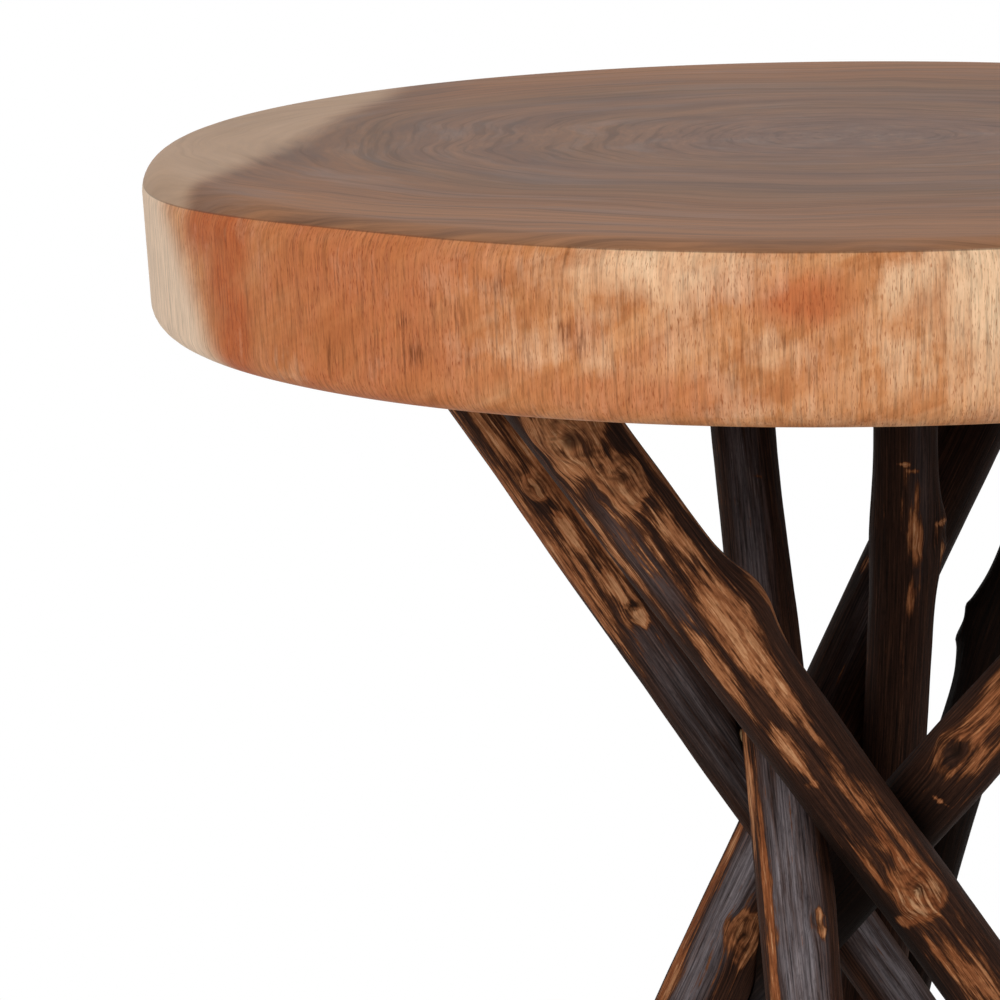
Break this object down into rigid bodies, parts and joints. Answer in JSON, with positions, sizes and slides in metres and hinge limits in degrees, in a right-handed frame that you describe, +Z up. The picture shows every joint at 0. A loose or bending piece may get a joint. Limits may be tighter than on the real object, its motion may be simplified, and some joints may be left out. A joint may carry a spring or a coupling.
{
  "type": "accent table",
  "caption": "Round accent table: a thick cross-cut wood slab with eased edges on a bundle of dark natural sticks that cross at a waist and spread to the floor.",
  "frame": {"origin": "centre of the floor plane under the slab, at the bottom of the glides", "axes": "+Z up through the slab, -Y toward the front, +X to the right as seen from the front"},
  "size_m": [0.5, 0.5, 0.45],
  "materials": {
    "slab_wood": "satin lacquer on end grain, lighter sapwood at the left",
    "charred_wood": "dark charred and brushed, with bare brown patches",
    "screw_steel": "zinc plated",
    "dowel_wood": "raw beech",
    "glide_plastic": "black moulded"
  },
  "bodies": {
    "root": {"table_top": "slab_wood", "stick_front": "charred_wood", "stick_centre": "charred_wood", "stick_left": "charred_wood", "stick_long": "charred_wood", "stick_right": "charred_wood", "stick_upright": "charred_wood", "stick_bent": "charred_wood", "top_screw_front": "screw_steel", "top_screw_centre": "screw_steel", "top_screw_left": "screw_steel", "top_screw_long": "screw_steel", "top_screw_right": "screw_steel", "top_screw_upright": "screw_steel", "top_screw_bent": "screw_steel", "dowel_front_right": "dowel_wood", "dowel_centre_left": "dowel_wood", "dowel_left_long": "dowel_wood", "dowel_left_right": "dowel_wood", "dowel_long_upright": "dowel_wood", "dowel_upright_bent": "dowel_wood", "glide_front": "glide_plastic", "glide_centre": "glide_plastic", "glide_left": "glide_plastic", "glide_long": "glide_plastic", "glide_right": "glide_plastic", "glide_upright": "glide_plastic", "glide_bent": "glide_plastic"}
  },
  "joints": []
}
